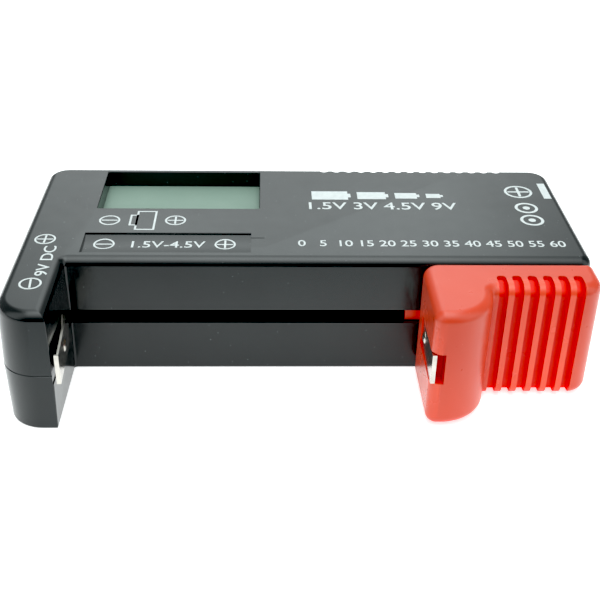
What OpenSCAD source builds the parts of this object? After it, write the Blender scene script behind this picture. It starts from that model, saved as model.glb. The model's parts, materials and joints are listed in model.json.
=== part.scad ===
// Battery tester: a two-shell case with a fixed arm on the left and a red jaw that slides in a slot along the
// battery bay. Millimetres, +Z up, origin at the centre of the bounding box's base.
// X runs along the tester, Y from the front of the arm to the back face.

/* [Case] */
// Overall length
case_l = 110; // [108:0.5:114]
// Overall depth, front of the arm to the back face
case_d = 62; // [61:0.5:64]
// Overall height
case_h = 24.6; // [24.4:0.1:26]
// Depth of the case behind the battery bay
body_d = 42.5; // [42:0.25:43]
// Width of the fixed arm
arm_w = 10; // [9.8:0.1:10.4]
// Height of the parting line between the two shells
split_z = 11.8; // [11.6:0.1:12]
// Thickness of the shell walls
wall_t = 1.8; // [1.6:0.1:2]
// Narrowing of each shell from the parting line to its far edge
draft = 0.3; // [0.1:0.05:0.4]
// Rounding of the upper edges
edge_r = 1.8; // [1.2:0.1:2]

/* [Slider] */
// Width of the slider along its travel
slider_w = 32.5; // [31:0.5:34]
// Width of the tall jaw
jaw_w = 11.6; // [11:0.2:12.4]
// Depth of the ribbed grip
grip_d = 9.7; // [9:0.1:11]
// Height of the slot that the neck runs in
slot_h = 2.9; // [2.6:0.1:3.2]
// Sideways and vertical play of the neck in the slot
slot_play = 0.2; // [0.15:0.05:0.3]
// Number of grooves in the grip
groove_count = 6; // [4:1:6]

/* [Display] */
// Length of the window
window_w = 33; // [30:0.5:33]
// Width of the window
window_d = 18; // [16:0.5:18]
// Depth of the display's face under the top
window_drop = 3.5; // [3.3:0.1:3.6]

/* [Contacts] */
// Height of the contact leaves
leaf_h = 6; // [5:0.5:6]
// Thickness of the contact leaves
leaf_t = 0.4; // [0.3:0.05:0.5]
// Centre distance of the two 9 V studs
stud_pitch = 12.7; // [12.5:0.1:13]

/* [Hidden] */

// Outer faces of the case
left = -case_l / 2;
right = case_l / 2;
front = -case_d / 2;
back = case_d / 2;
wall_y = back - body_d;
arm_x = left + arm_w;
roof_z = case_h - wall_t;
eps = 0.5;

// Corner radii of the case's outline
back_corner_r = 4;
arm_corner_r = 7;
small_corner_r = 2.4;
base_edge_r = 0.4;

// Slider block
slider_x0 = right - 0.7 - slider_w;
slider_x1 = slider_x0 + slider_w;
slider_back = wall_y - 0.3;
grip_front = slider_back - grip_d;
slider_base = 0.66;
slider_edge_r = 1.6;
jaw_nose_r = 2;
jaw_curve_r = 8.8;

// Grooves of the grip: a sloping floor that bends down the front
groove_w = 1.75;
groove_pitch = 2.84;
groove_x0 = slider_x0 + jaw_w + 1.3;
groove_floor_y = grip_front + 1.7;
groove_back = slider_back - 5.3;
groove_end_depth = 0.85;
groove_bend_r = 1.5;
groove_bend_z = case_h - 3.2;

// Coring pockets in the back of the slider
core_count = 3;
core_w = 7.6;
core_pitch = 9;
core_x0 = slider_x0 + 6;
core_d = 5.8;
core_heights = [[3, 9], [15, 21.6]];

// Slot in the front wall, and the slider's neck and flange
slot_z0 = 10.7;
slot_z1 = slot_z0 + slot_h;
slot_x0 = arm_x - 1.9;
slot_x1 = right - 3;
wall_in = wall_y + wall_t;
neck_lead = 2.6;
flange_y0 = wall_in + slot_play;
flange_t = 1.9;
flange_y1 = flange_y0 + flange_t;
flange_z0 = 7.2;
flange_z1 = 17;
neck_x1 = slider_x1 - 4;

// Contact leaves and the pockets they sit in
leaf_z0 = 10.16;
leaf_play = 0.15;
leaf_root_y = -17.2;
leaf_hem = 0.6;
hem_y = front + 0.1 + leaf_t / 2;
dimple_r = 1.2;
dimple_h = 0.4;

// Positive leaf: in the jaw's face, then inside the jaw, with a lower tail back to the flange
jaw_leaf_x = slider_x0 + 0.3;
jaw_leaf_in = slider_x0 + 3;
jaw_turn_y = leaf_root_y - 0.75;
jaw_dimple_y = leaf_root_y - 3.2;
tail_z0 = 11.1;
tail_h = 2.1;
foot_y = flange_y1 + leaf_t / 2;

// Negative leaf: proud of the arm at the front, back to the arm's face, then inside the arm
arm_leaf_front_x = arm_x + 1.1;
arm_leaf_back_x = arm_x + 0.35;
arm_leaf_in = arm_x - wall_t - 0.5;
arm_dimple_y = -23;

// Contact rail on its rib behind the channel
rib_y0 = -3.6;
rib_t = 1.4;
rib_top = 17.4;
rail_t = 0.4;
rail_z0 = 9.6;
rail_h = 5;
rail_x1 = right - 9;

// Wiper, screwed over the foot of the positive leaf, and its sprung end on the rail
wiper_t = 0.3;
wiper_h = 4.4;
wiper_z = tail_z0 + tail_h / 2;
wiper_screw_x = [slider_x0 + 7, slider_x0 + 12];
wiper_end = 2;
wiper_y = flange_y1 + leaf_t + wiper_t / 2;
wiper_tip_y = rib_y0 - rail_t - 0.12 - wiper_t / 2;
wiper_screw_r = 0.8;
wiper_screw_l = 3.4;

// Case screws: places, boss and thread sizes
screw_places = [[left + 5, back - 5], [right - 5, back - 5], [right - 5, 2], [left + 5, front + 5.5]];
boss_r = wall_t + 1.6;
screw_r = 1.1;
pilot_r = 1.15;
clearance_r = 1.4;
head_r = 2.5;
head_h = 1.6;
head_recess_r = 2.8;
head_recess = 2.4;
screw_tip_z = 17;

// Display stack, from the window down to the board
window_x0 = left + 13.1;
window_y0 = back - 2.6 - window_d;
lcd_z = case_h - window_drop;
lcd_x0 = window_x0 - 2.1;
lcd_w = window_w + 4;
lcd_y0 = window_y0 - 1.2;
lcd_y1 = back - 2;
film_t = 0.2;
glass_t = 1.1;
ledge_d = 2.4;
pcb_t = 1.6;
pcb_z1 = 16;
pcb_z0 = pcb_z1 - pcb_t;
pcb_x0 = left + 9.5;
pcb_x1 = 8;
pcb_y0 = -1.3;
pcb_y1 = back - 2.2;
pcb_screw_places = [[-41, 3], [-19, 3], [4.5, 3], [4.5, pcb_y1 - 3.5]];
post_r = 2;
pcb_screw_r = 0.8;
pcb_screw_l = 5.6;
pcb_hole_r = 0.85;
pcb_hole_depth = 4.5;

// Battery-shaped recess in the top
recess_x0 = left + 12.25;
recess_y0 = wall_y + 3.1;
recess_w = 32.35;
recess_d = 8;
nub_w = 2.6;
nub_d = 3.9;
recess_depth = 0.5;

// Finger grooves down the back wall
scallop_count = 15;
scallop_pitch = 2.73;
scallop_x0 = 5.3;
scallop_r = 1.3;
scallop_depth = 0.75;

// 9 V studs in the left end wall
stud_y = [-5.4, -5.4 - stud_pitch];
stud_head_r = 3;
stud_head_t = 0.7;
stud_shank_r = 1.6;
stud_collar_r = 2.4;
stud_play = 0.05;
tab_t = 0.3;

// Wires
wire_r = 0.6;
wire_sides = 8;
wire_steps = 3;
pad_x = pcb_x0 + 1.1;
pad_z = pcb_z0 - 0.12;
tab_wire_x = left + wall_t + tab_t + wire_r + 0.05;

$fn = 48;

// ---------- shapes shared by several parts ----------

// A vertical pin with rounded rims, for the corners of a moulded block. Its radius is r at mid_z, and less by the
// taper at both ends.
module corner_pin(x, y, r, z0, z1, mid_z, taper, rim0, rim1) {
    steps = 6;
    lower = [for (i = [0:steps]) let (a = -90 + 90 * i / steps)
        [max(0, r - taper - rim0 + rim0 * cos(a)), z0 + rim0 + rim0 * sin(a)]];
    upper = [for (i = [0:steps]) let (a = 90 * i / steps)
        [max(0, r - taper - rim1 + rim1 * cos(a)), z1 - rim1 + rim1 * sin(a)]];
    translate([x, y, 0])
        rotate_extrude($fn = 32)
            polygon(concat([[0, z0]], lower, [[r, mid_z]], upper, [[0, z1]]));
}

module case_pin(x, y, r) {
    corner_pin(x, y, r, 0, case_h, split_z, draft, base_edge_r, edge_r);
}

// Centres of the pins of radius r that round a large corner of radius big_r about a centre
function arc_centres(centre, big_r, r, a0, a1, steps = 4) =
    [for (i = [0:steps]) let (a = a0 + (a1 - a0) * i / steps) centre + (big_r - r) * [cos(a), sin(a)]];

module slider_pin(x, y, r) {
    corner_pin(x, y, r, slider_base, case_h, case_h / 2, 0, slider_edge_r, slider_edge_r);
}

// The solid outer form of the whole case
module case_form() {
    hull() {
        case_pin(left + back_corner_r, back - back_corner_r, back_corner_r);
        case_pin(right - back_corner_r, back - back_corner_r, back_corner_r);
        case_pin(right - small_corner_r, wall_y + small_corner_r, small_corner_r);
        case_pin(left + small_corner_r, wall_y + small_corner_r, small_corner_r);
    }
    arm_corner = [left + arm_corner_r, front + arm_corner_r];
    hull() {
        for (c = arc_centres(arm_corner, arm_corner_r, small_corner_r, 180, 270))
            case_pin(c[0], c[1], small_corner_r);
        case_pin(arm_x - small_corner_r, front + small_corner_r, small_corner_r);
        case_pin(arm_x - small_corner_r, wall_y + 6, small_corner_r);
        case_pin(left + small_corner_r, wall_y + 6, small_corner_r);
    }
}

// A rectangle with round corners, as a union of plain shapes
module round_rect(x0, y0, x1, y1, r) {
    translate([x0 + r, y0])
        square([x1 - x0 - 2 * r, y1 - y0]);
    translate([x0, y0 + r])
        square([x1 - x0, y1 - y0 - 2 * r]);
    for (x = [x0 + r, x1 - r], y = [y0 + r, y1 - r])
        translate([x, y])
            circle(r);
}

// The hollow inside the case, between two heights
module case_hollow(z0, z1) {
    translate([0, 0, z0])
        linear_extrude(z1 - z0) {
            round_rect(left + wall_t, wall_in, right - wall_t, back - wall_t, back_corner_r - wall_t);
            difference() {
                round_rect(left + wall_t, front + wall_t, arm_x - wall_t, wall_in + 5, 1);
                arm_nose_fill();
            }
        }
}

// Keeps the wall at the arm's rounded outer corner as thick as the rest
module arm_nose_fill() {
    difference() {
        translate([left, front])
            square(arm_corner_r);
        translate([left + arm_corner_r, front + arm_corner_r])
            circle(arm_corner_r - wall_t);
    }
}

// Everything above (or below) the parting line
module above_split() {
    translate([left - eps, front - eps, split_z])
        cube([case_l + 2 * eps, case_d + 2 * eps, case_h - split_z + eps]);
}

module below_split() {
    translate([left - eps, front - eps, -eps])
        cube([case_l + 2 * eps, case_d + 2 * eps, split_z + eps]);
}

module box(x0, y0, z0, x1, y1, z1) {
    translate([x0, y0, z0])
        cube([x1 - x0, y1 - y0, z1 - z0]);
}

// Cuts that both shells share: the slot, the leaf's pocket and passage, the stud holes and the finger grooves
module shell_cuts() {
    box(slot_x0, wall_y - eps, slot_z0, slot_x1, wall_in + eps, slot_z1);
    leaf_pocket();
    for (y = stud_y)
        translate([left, y, split_z])
            rotate([0, 90, 0]) {
                translate([0, 0, -eps])
                    cylinder(r = stud_head_r + stud_play, h = stud_head_t + eps + 0.1);
                cylinder(r = stud_shank_r + stud_play, h = wall_t + eps);
            }
    for (i = [0:scallop_count - 1])
        translate([scallop_x0 + i * scallop_pitch, back + scallop_r - scallop_depth, -eps])
            cylinder(r = scallop_r, h = case_h + 2 * eps);
}

module leaf_pocket() {
    z0 = leaf_z0 - leaf_play;
    z1 = leaf_z0 + leaf_h + leaf_play;
    box(arm_x - 0.7, front - eps, z0, arm_x + eps, leaf_root_y + 0.5, z1);
    box(arm_x - wall_t - eps, leaf_root_y - 0.4, z0, arm_x + eps, leaf_root_y + 0.5, z1);
}

// A metal strip of thickness t and height h that follows a path in plan
function unit(v) = v / norm(v);
function left_of(v) = [-v[1], v[0]];
function edge_normal(path, i) = left_of(unit(path[i + 1] - path[i]));
function mitre(a, b) = unit(a + b) / (unit(a + b) * a);
function path_normal(path, i) =
    i == 0 ? edge_normal(path, 0)
    : i == len(path) - 1 ? edge_normal(path, i - 1)
    : mitre(edge_normal(path, i - 1), edge_normal(path, i));

module strip(path, t, z, h) {
    last = len(path) - 1;
    one_side = [for (i = [0:last]) path[i] + path_normal(path, i) * t / 2];
    other_side = [for (i = [last:-1:0]) path[i] - path_normal(path, i) * t / 2];
    translate([0, 0, z])
        linear_extrude(h)
            polygon(concat(one_side, other_side));
}

// The pressed dimple of a leaf: a low dome that rises along side * X from the point x, y, z
module dimple(x, y, z, side) {
    ball_r = (dimple_r * dimple_r + dimple_h * dimple_h) / (2 * dimple_h);
    half_angle = asin(dimple_r / ball_r);
    steps = 5;
    arc = [for (i = [0:steps]) let (a = half_angle * (steps - i) / steps)
        [ball_r * sin(a), ball_r * cos(a) - ball_r + dimple_h]];
    translate([x, y, z])
        rotate([0, side * 90, 0])
            rotate_extrude()
                polygon(concat([[0, -0.15], [dimple_r, -0.15]], arc));
}

// A screw that points up from its head's underside, with a cross recess
module screw(r, length, head_radius, head_height) {
    difference() {
        union() {
            translate([0, 0, -head_height])
                cylinder(r = head_radius, h = head_height);
            cylinder(r = r, h = length);
        }
        for (a = [0, 90])
            rotate([0, 0, a])
                translate([0, 0, -head_height])
                    cube([head_radius * 1.1, head_radius * 0.25, head_height * 1.1], center = true);
    }
}

// A round wire through a list of points, smoothed between them
function curve_point(a, b, c, d, t) =
    0.5 * (2 * b + (c - a) * t + (2 * a - 5 * b + 4 * c - d) * t * t + (3 * b - a - 3 * c + d) * t * t * t);
function pick(p, i) = p[min(max(i, 0), len(p) - 1)];
function smooth(p) = concat(
    [for (i = [0:len(p) - 2], s = [0:wire_steps - 1])
        curve_point(pick(p, i - 1), p[i], p[i + 1], pick(p, i + 2), s / wire_steps)],
    [p[len(p) - 1]]);
function tangent(p, i) = unit(pick(p, i + 1) - pick(p, i - 1));

module wire(points) {
    path = smooth(points);
    last = len(path) - 1;
    rings = [for (i = [0:last])
        let (t = tangent(path, i), u = unit(cross(t, [1, 0.25, 0])), v = cross(t, u))
            for (k = [0:wire_sides - 1])
                let (a = 360 * k / wire_sides) path[i] + wire_r * (cos(a) * u + sin(a) * v)];
    sides = [for (i = [0:last - 1], k = [0:wire_sides - 1])
        let (a = i * wire_sides + k, b = i * wire_sides + (k + 1) % wire_sides)
            each [[a, b, b + wire_sides], [a, b + wire_sides, a + wire_sides]]];
    start_cap = [for (k = [wire_sides - 1:-1:0]) k];
    end_cap = [for (k = [0:wire_sides - 1]) last * wire_sides + k];
    polyhedron(rings, concat(sides, [start_cap, end_cap]));
}

// ---------- case ----------

module upper_case() {
    color([0.13, 0.14, 0.14])
        difference() {
            union() {
                difference() {
                    intersection() {
                        case_form();
                        above_split();
                    }
                    case_hollow(split_z - eps, roof_z);
                }
                window_skirt();
                for (p = screw_places)
                    translate([p[0], p[1], split_z])
                        cylinder(r = boss_r, h = roof_z - split_z + eps);
                for (p = pcb_screw_places)
                    translate([p[0], p[1], pcb_z1])
                        cylinder(r = post_r, h = roof_z - pcb_z1 + eps);
            }
            shell_cuts();
            box(window_x0, window_y0, lcd_z - eps, window_x0 + window_w, window_y0 + window_d, case_h + eps);
            battery_recess();
            for (p = screw_places)
                translate([p[0], p[1], split_z - eps])
                    cylinder(r = pilot_r, h = screw_tip_z - split_z + 1);
            for (p = pcb_screw_places)
                translate([p[0], p[1], pcb_z1 - eps])
                    cylinder(r = pcb_hole_r, h = pcb_hole_depth + eps);
        }
}

// The frame under the window that presses on the display
module window_skirt() {
    rim = 1.2;
    box(window_x0 - rim, window_y0 - rim, lcd_z,
        window_x0 + window_w + rim, back - wall_t + 0.2, roof_z + 0.2);
}

module battery_recess() {
    z = case_h - recess_depth;
    box(recess_x0, recess_y0, z, recess_x0 + recess_w, recess_y0 + recess_d, case_h + eps);
    nub_y = recess_y0 + (recess_d - nub_d) / 2;
    box(recess_x0 + recess_w - eps, nub_y, z, recess_x0 + recess_w + nub_w, nub_y + nub_d, case_h + eps);
}

module lower_case() {
    color([0.11, 0.12, 0.12])
        difference() {
            union() {
                difference() {
                    intersection() {
                        case_form();
                        below_split();
                    }
                    case_hollow(wall_t, split_z + eps);
                }
                for (p = screw_places)
                    translate([p[0], p[1], wall_t - eps])
                        cylinder(r = boss_r, h = split_z - wall_t + eps);
                box(pcb_x0 + 0.5, rib_y0, wall_t - eps, rail_x1, rib_y0 + rib_t, rib_top);
            }
            shell_cuts();
            for (p = screw_places)
                translate([p[0], p[1], -eps]) {
                    cylinder(r = head_recess_r, h = head_recess + eps);
                    cylinder(r = clearance_r, h = split_z + 2 * eps);
                }
        }
}

module case_screws() {
    color([0.75, 0.76, 0.78])
        for (p = screw_places)
            translate([p[0], p[1], head_recess])
                screw(screw_r, screw_tip_z - head_recess, head_r, head_h);
}

// ---------- slider ----------

module jaw_block() {
    curve = [slider_x0 + jaw_w - jaw_curve_r, front + jaw_curve_r];
    hull() {
        slider_pin(slider_x0 + jaw_nose_r, front + jaw_nose_r, jaw_nose_r);
        for (c = arc_centres(curve, jaw_curve_r, 2, 270, 360))
            slider_pin(c[0], c[1], 2);
        slider_pin(slider_x0 + 3, slider_back - 3, 3);
        slider_pin(slider_x0 + jaw_w - 2, slider_back - 2, 2);
    }
}

module grip_block() {
    inner_x = slider_x0 + jaw_w - 2.4;
    hull() {
        slider_pin(inner_x, grip_front + 2, 2);
        slider_pin(slider_x1 - 4, grip_front + 4, 4);
        slider_pin(slider_x1 - 2, slider_back - 2, 2);
        slider_pin(inner_x, slider_back - 2, 2);
    }
}

// Grooves that start on the top of the grip, deepen towards its front and run down it
module grip_grooves() {
    bend = [for (a = [60:-15:0])
        [groove_floor_y + groove_bend_r * (1 - cos(a)), groove_bend_z + groove_bend_r * sin(a)]];
    above = case_h + eps;
    outside = grip_front - eps;
    for (i = [0:groove_count - 1])
        translate([groove_x0 + i * groove_pitch, 0, 0])
            rotate([90, 0, 90])
                linear_extrude(groove_w)
                    polygon(concat([[groove_back, above], [groove_back, case_h - groove_end_depth]], bend,
                                   [[groove_floor_y, -eps], [outside, -eps], [outside, above]]));
}

// Coring pockets in the back of the slider, above and below the neck
module coring() {
    for (i = [0:core_count - 1], z = core_heights) {
        x0 = core_x0 + i * core_pitch;
        box(x0, slider_back - core_d, z[0], x0 + core_w, slider_back + 0.1, z[1]);
    }
}

module slider_body() {
    neck_z0 = slot_z0 + slot_play;
    neck_z1 = slot_z1 - slot_play;
    flange_x0 = slider_x0 - 1.6;
    color([0.86, 0.2, 0.15])
        difference() {
            union() {
                jaw_block();
                grip_block();
                box(slider_x0 + 1, slider_back - 2, neck_z0, neck_x1, flange_y0 + 0.2, neck_z1);
                box(slider_x0 - neck_lead, wall_y + 0.1, neck_z0, neck_x1, flange_y0 + 0.2, neck_z1);
                box(flange_x0, flange_y0, flange_z0, neck_x1, flange_y1, flange_z1);
            }
            grip_grooves();
            coring();
            slider_leaf_pocket();
            for (x = wiper_screw_x)
                translate([x, flange_y1 + eps, wiper_z])
                    rotate([90, 0, 0])
                        cylinder(r = wiper_screw_r + 0.05, h = wiper_screw_l + 0.2 + eps);
        }
}

// The leaf lies in a pocket in the jaw's face, turns in through a passage, and runs back inside to the flange
module slider_leaf_pocket() {
    z0 = leaf_z0 - leaf_play;
    z1 = leaf_z0 + leaf_h + leaf_play;
    box(slider_x0 - eps, front - eps, z0, slider_x0 + 2.5, front + 2.5, z1);
    box(slider_x0 - eps, front - eps, z0, slider_x0 + 0.9, leaf_root_y - 0.4, z1);
    box(slider_x0 - eps, leaf_root_y - 1.2, z0, jaw_leaf_in + 0.6, leaf_root_y - 0.3, z1);
    box(jaw_leaf_in - 0.6, leaf_root_y - 1.2, z0, jaw_leaf_in + 0.6, slider_back - 0.6, z1);
    box(jaw_leaf_in - 0.4, slider_back - 1, tail_z0 - 0.2, jaw_leaf_in + 0.4, flange_y1 + eps,
        tail_z0 + tail_h + 0.2);
}

module positive_contact() {
    face_path = [[jaw_leaf_x + leaf_hem, hem_y], [jaw_leaf_x, hem_y], [jaw_leaf_x + 0.2, jaw_turn_y],
                 [jaw_leaf_in, jaw_turn_y], [jaw_leaf_in, slider_back - 0.9]];
    tail_path = [[jaw_leaf_in, slider_back - 1.2], [jaw_leaf_in, foot_y],
                 [wiper_screw_x[0] + wiper_end, foot_y]];
    color([0.85, 0.82, 0.76]) {
        strip(face_path, leaf_t, leaf_z0, leaf_h);
        difference() {
            strip(tail_path, leaf_t, tail_z0, tail_h);
            wiper_screw_holes(foot_y);
        }
        dimple(jaw_leaf_x - leaf_t / 2 + 0.1, jaw_dimple_y, leaf_z0 + leaf_h / 2, -1);
    }
}

module wiper_screw_holes(y) {
    for (x = wiper_screw_x)
        translate([x, y + eps, wiper_z])
            rotate([90, 0, 0])
                cylinder(r = wiper_screw_r + 0.1, h = 2 * eps);
}

module slider_wiper() {
    x0 = wiper_screw_x[0] - wiper_end;
    x1 = wiper_screw_x[1] + wiper_end;
    path = [[x0, wiper_y], [x1, wiper_y], [x1 + 5, wiper_tip_y], [x1 + 7, wiper_tip_y],
            [x1 + 9, wiper_tip_y - 1]];
    color([0.8, 0.6, 0.3])
        difference() {
            strip(path, wiper_t, wiper_z - wiper_h / 2, wiper_h);
            wiper_screw_holes(wiper_y);
        }
}

module wiper_screws() {
    color([0.75, 0.76, 0.78])
        for (x = wiper_screw_x)
            translate([x, wiper_y + wiper_t / 2, wiper_z])
                rotate([90, 0, 0])
                    screw(wiper_screw_r, wiper_screw_l, 1.5, 0.8);
}

// ---------- contacts in the case ----------

module negative_contact() {
    lean = (arm_leaf_back_x - arm_leaf_front_x) / (leaf_root_y - front);
    dimple_x = arm_leaf_front_x + lean * (arm_dimple_y - front);
    path = [[arm_leaf_front_x - leaf_hem, hem_y], [arm_leaf_front_x, hem_y], [arm_leaf_back_x, leaf_root_y],
            [arm_leaf_in, leaf_root_y + 0.1], [arm_leaf_in, wall_y + 1]];
    color([0.85, 0.82, 0.76]) {
        strip(path, leaf_t, leaf_z0, leaf_h);
        dimple(dimple_x + leaf_t / 2, arm_dimple_y, leaf_z0 + leaf_h / 2, 1);
    }
}

module contact_rail() {
    color([0.8, 0.6, 0.3])
        box(left + 7, rib_y0 - rail_t, rail_z0, rail_x1, rib_y0, rail_z0 + rail_h);
}

module nine_volt_stud(y) {
    inner_face = wall_t + 0.02;
    color([0.85, 0.82, 0.76])
        translate([left, y, split_z])
            rotate([0, 90, 0]) {
                translate([0, 0, 0.1])
                    cylinder(r = stud_head_r, h = stud_head_t);
                translate([0, 0, 0.1])
                    cylinder(r = stud_shank_r, h = wall_t + tab_t + 0.5);
                translate([0, 0, inner_face + tab_t])
                    cylinder(r = stud_collar_r, h = 0.5);
            }
}

module nine_volt_plus_stud() {
    nine_volt_stud(stud_y[0]);
}

module nine_volt_minus_stud() {
    nine_volt_stud(stud_y[1]);
}

module nine_volt_solder_tabs() {
    x0 = left + wall_t;
    color([0.8, 0.6, 0.3])
        for (y = stud_y)
            difference() {
                box(x0, y - 2, 4.6, x0 + tab_t, y + 2, split_z + 2.6);
                translate([x0 - eps, y, split_z])
                    rotate([0, 90, 0])
                        cylinder(r = stud_shank_r + 0.03, h = tab_t + 2 * eps);
            }
}

// ---------- display ----------

module lcd_polariser() {
    color([0.56, 0.66, 0.6])
        box(lcd_x0 + 0.6, lcd_y0 + 0.4, lcd_z - film_t, lcd_x0 + lcd_w - 0.6, lcd_y1 - 0.4, lcd_z);
}

module lcd_front_glass() {
    z1 = lcd_z - film_t;
    color([0.7, 0.78, 0.74, 0.6])
        box(lcd_x0, lcd_y0, z1 - glass_t, lcd_x0 + lcd_w, lcd_y1, z1);
}

module lcd_rear_glass() {
    z1 = lcd_z - film_t - glass_t;
    color([0.7, 0.78, 0.74, 0.6])
        box(lcd_x0, lcd_y0 + ledge_d, z1 - glass_t, lcd_x0 + lcd_w, lcd_y1, z1);
}

module lcd_reflector() {
    z1 = lcd_z - film_t - 2 * glass_t;
    color([0.6, 0.66, 0.6])
        box(lcd_x0 + 0.6, lcd_y0 + ledge_d + 0.4, z1 - film_t, lcd_x0 + lcd_w - 0.6, lcd_y1 - 0.4, z1);
}

module lcd_holder() {
    rim = 1.6;
    z1 = lcd_z - 2 * film_t - 2 * glass_t;
    y0 = lcd_y0 + ledge_d + 0.2;
    color([0.9, 0.9, 0.88])
        difference() {
            box(lcd_x0, y0, pcb_z1, lcd_x0 + lcd_w, lcd_y1 - 0.3, z1);
            box(lcd_x0 + rim, y0 + rim, pcb_z1 - eps, lcd_x0 + lcd_w - rim, lcd_y1 - 0.3 - rim, z1 + eps);
        }
}

module zebra_strip() {
    color([0.85, 0.55, 0.65])
        box(lcd_x0 + 2, lcd_y0 + 0.3, pcb_z1, lcd_x0 + lcd_w - 2, lcd_y0 + ledge_d - 0.3,
            lcd_z - film_t - glass_t);
}

// ---------- circuit board ----------

module circuit_board() {
    color([0.12, 0.4, 0.2])
        difference() {
            box(pcb_x0, pcb_y0, pcb_z0, pcb_x1, pcb_y1, pcb_z1);
            for (p = pcb_screw_places)
                translate([p[0], p[1], pcb_z0 - eps])
                    cylinder(r = 1, h = pcb_t + 2 * eps);
        }
}

module pcb_screws() {
    color([0.75, 0.76, 0.78])
        for (p = pcb_screw_places)
            translate([p[0], p[1], pcb_z0])
                screw(pcb_screw_r, pcb_screw_l, 1.8, 1);
}

// The controller lies under a low dome of black epoxy on the underside of the board
module controller_blob() {
    base_r = 5;
    height = 1.4;
    reach = base_r + 1;
    ball_r = (base_r * base_r + height * height) / (2 * height);
    color([0.05, 0.05, 0.05])
        translate([-29, 15, pcb_z0])
            intersection() {
                translate([0, 0, ball_r - height])
                    sphere(ball_r, $fn = 180);
                box(-reach, -reach, -reach, reach, reach, 0);
            }
}

// A part on the underside of the board, centred at x, y
module under_board(x, y, w, d, h) {
    box(x - w / 2, y - d / 2, pcb_z0 - h, x + w / 2, y + d / 2, pcb_z0);
}

module boost_chip() {
    color([0.08, 0.08, 0.08])
        under_board(-10, 11, 4.5, 2.5, 1.5);
}

module power_inductor() {
    color([0.25, 0.25, 0.27])
        translate([-3, 18, pcb_z0 - 3.2])
            cylinder(r = 2.9, h = 3.2);
}

module buffer_capacitor() {
    color([0.2, 0.2, 0.25])
        translate([-3, 10, pcb_z0 - 5.4])
            cylinder(r = 2, h = 5.4);
}

module diode() {
    color([0.1, 0.1, 0.1])
        under_board(-10, 17, 2.7, 1.6, 1.1);
}

module chip_resistors() {
    color([0.1, 0.1, 0.12])
        for (i = [0:3], j = [0:1])
            under_board(-39 + i * 3, 22.5 + j * 2.4, 2, 1.25, 0.5);
}

module chip_capacitors() {
    color([0.72, 0.6, 0.45])
        for (i = [0:4])
            under_board(-17, 9 + i * 3, 1.25, 2, 0.8);
}

// ---------- wires ----------

module wire_rail() {
    color([0.75, 0.1, 0.1])
        wire([[left + 7.8, rib_y0 + wire_r + 0.05, 12.2], [left + 7.8, -1.8, 11.6], [left + 8.2, -0.4, 11],
              [left + 10, 0.3, 11.8], [pad_x, 0.4, pad_z - 1.2], [pad_x, 0.4, pad_z]]);
}

module wire_negative() {
    color([0.05, 0.05, 0.05])
        wire([[arm_x - wall_t - 1.4, -12, 15], [-49, -8, 15.4], [-49.5, -2, 15], [-49, 5, 14],
              [-47.6, 11, 12], [-45.2, 13.1, 11.4], [pad_x, 13.4, pad_z - 1.4], [pad_x, 13.4, pad_z]]);
}

module wire_nine_volt_plus() {
    color([0.75, 0.1, 0.1])
        wire([[tab_wire_x, stud_y[0], 6.2], [-50.5, -3.5, 5.2], [-49, 0, 4.6], [-47, 4, 6], [-45, 6.6, 9.5],
              [pad_x, 7, pad_z - 1.8], [pad_x, 7, pad_z]]);
}

module wire_nine_volt_minus() {
    color([0.05, 0.05, 0.05])
        wire([[tab_wire_x, stud_y[1], 6.2], [-50.6, -15.5, 4.6], [-50.2, -9, 3.2], [-50, -1, 3],
              [-48.5, 6, 4], [-45.6, 9.8, 7.5], [pad_x, 10.2, pad_z - 2.4], [pad_x, 10.2, pad_z]]);
}

upper_case();
lower_case();
case_screws();
slider_body();
positive_contact();
slider_wiper();
wiper_screws();
negative_contact();
contact_rail();
nine_volt_plus_stud();
nine_volt_minus_stud();
nine_volt_solder_tabs();
lcd_polariser();
lcd_front_glass();
lcd_rear_glass();
lcd_reflector();
lcd_holder();
zebra_strip();
circuit_board();
pcb_screws();
controller_blob();
boost_chip();
power_inductor();
buffer_capacitor();
diode();
chip_resistors();
chip_capacitors();
wire_rail();
wire_negative();
wire_nine_volt_plus();
wire_nine_volt_minus();
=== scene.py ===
"""Battery tester: a black two-shell case with a display window and a red sliding jaw, on a white table.

Shapes are made in millimetres and written to Blender in metres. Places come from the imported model's boxes.
"""
import json
import math

import bpy
from mathutils import Matrix, Vector


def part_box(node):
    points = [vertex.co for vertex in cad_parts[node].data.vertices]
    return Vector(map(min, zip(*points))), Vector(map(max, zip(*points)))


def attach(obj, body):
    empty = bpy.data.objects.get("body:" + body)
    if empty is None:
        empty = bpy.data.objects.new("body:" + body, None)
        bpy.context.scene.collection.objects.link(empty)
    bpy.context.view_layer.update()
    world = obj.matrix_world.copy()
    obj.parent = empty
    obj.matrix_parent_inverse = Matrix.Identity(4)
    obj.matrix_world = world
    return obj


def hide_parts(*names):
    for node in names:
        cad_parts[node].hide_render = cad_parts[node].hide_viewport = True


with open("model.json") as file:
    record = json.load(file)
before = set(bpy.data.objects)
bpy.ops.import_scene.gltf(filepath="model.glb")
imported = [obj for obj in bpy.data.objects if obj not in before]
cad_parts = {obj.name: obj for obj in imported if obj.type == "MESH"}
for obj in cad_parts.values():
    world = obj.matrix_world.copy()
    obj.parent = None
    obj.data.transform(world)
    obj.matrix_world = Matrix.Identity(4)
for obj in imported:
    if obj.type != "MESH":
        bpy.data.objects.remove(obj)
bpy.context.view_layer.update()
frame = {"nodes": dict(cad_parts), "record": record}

MM = 0.001


# ---------- places and sizes, in millimetres ----------

def box_mm(node):
    """Lowest and highest corner of a CAD node, in millimetres."""
    low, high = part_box(node)
    return low / MM, high / MM


case_low, case_high = box_mm("upper_case")
slider_low, slider_high = box_mm("slider_body")
FILM_TOP = box_mm("lcd_polariser")[1].z

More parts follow.
